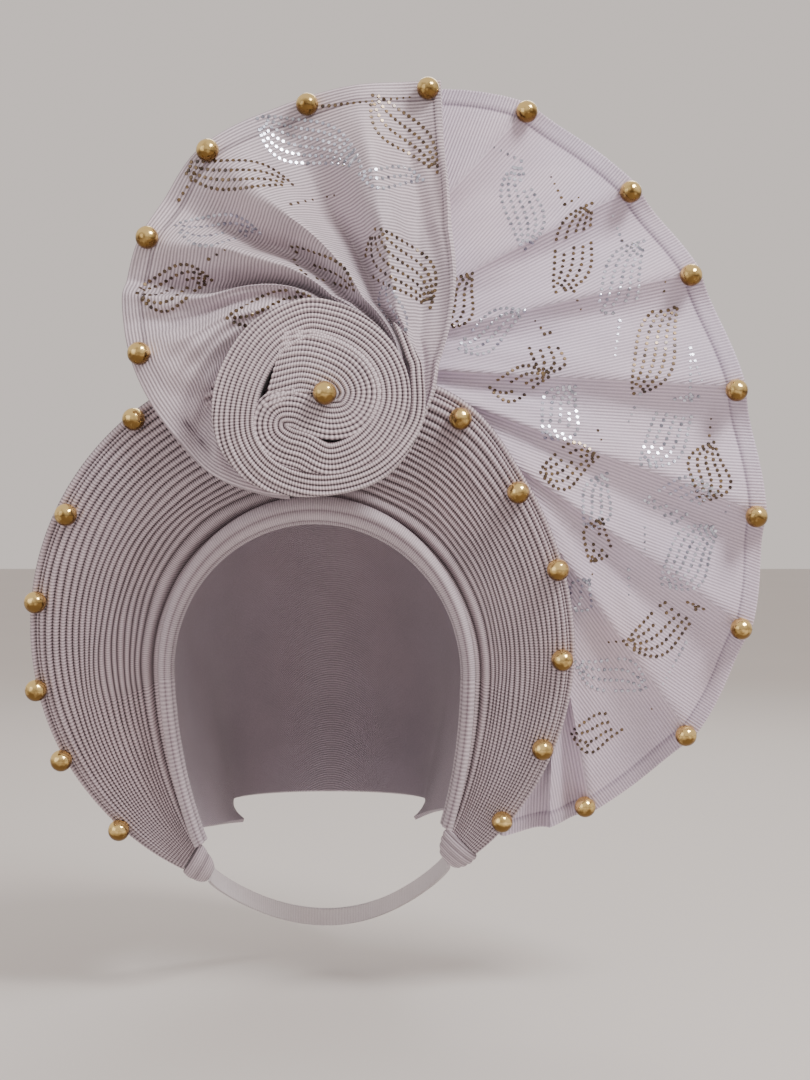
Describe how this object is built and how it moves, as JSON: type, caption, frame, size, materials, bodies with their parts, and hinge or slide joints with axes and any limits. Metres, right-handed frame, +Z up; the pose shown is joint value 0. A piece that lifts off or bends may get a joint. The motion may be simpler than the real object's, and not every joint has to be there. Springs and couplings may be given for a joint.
{
  "type": "tied gele head tie",
  "caption": "Lilac ribbed-cloth head tie: pleated halo round the face, wound rosette and two pleated fans with gold beads.",
  "frame": {"origin": "crown of the head, inside the cap, where the head carries the tie", "axes": "+Z up, the face opening faces -Y, the large fan rises towards +X"},
  "size_m": [0.3349, 0.2408, 0.4084],
  "materials": {
    "halo_cloth": "satin ribbed cloth in fine pleats",
    "band_cloth": "smooth satin ribbed cloth",
    "wrap_cloth": "satin ribbed cloth with soft gathers",
    "cap_cloth": "satin ribbed cloth",
    "rosette_cloth": "satin ribbed cloth in fine pleats",
    "left_fan_cloth": "satin ribbed cloth",
    "right_fan_cloth": "satin ribbed cloth",
    "binding_cloth": "satin ribbed cloth wound tight",
    "strap_cloth": "smooth pale elastic tape",
    "gold_bead": "polished gold",
    "clear_stone": "faceted clear stones",
    "topaz_stone": "faceted dark topaz stones"
  },
  "bodies": {
    "root": {"head_cap": "cap_cloth", "face_band": "band_cloth", "halo_pleats": "halo_cloth", "back_wrap": "wrap_cloth", "rosette": "rosette_cloth", "fan_left": "left_fan_cloth", "fan_right": "right_fan_cloth", "binding_left": "binding_cloth", "binding_right": "binding_cloth", "nape_strap": "strap_cloth", "bead_halo_left_1": "gold_bead", "bead_halo_left_2": "gold_bead", "bead_halo_left_3": "gold_bead", "bead_halo_left_4": "gold_bead", "bead_halo_left_5": "gold_bead", "bead_halo_left_6": "gold_bead", "bead_halo_right_1": "gold_bead", "bead_halo_right_2": "gold_bead", "bead_halo_right_3": "gold_bead", "bead_halo_right_4": "gold_bead", "bead_halo_right_5": "gold_bead", "bead_halo_right_6": "gold_bead", "bead_fan_left_1": "gold_bead", "bead_fan_left_2": "gold_bead", "bead_fan_left_3": "gold_bead", "bead_fan_left_4": "gold_bead", "bead_fan_left_5": "gold_bead", "bead_fan_right_1": "gold_bead", "bead_fan_right_2": "gold_bead", "bead_fan_right_3": "gold_bead", "bead_fan_right_4": "gold_bead", "bead_fan_right_5": "gold_bead", "bead_fan_right_6": "gold_bead", "bead_fan_right_7": "gold_bead", "bead_fan_right_8": "gold_bead", "bead_rosette": "gold_bead"}
  },
  "joints": []
}
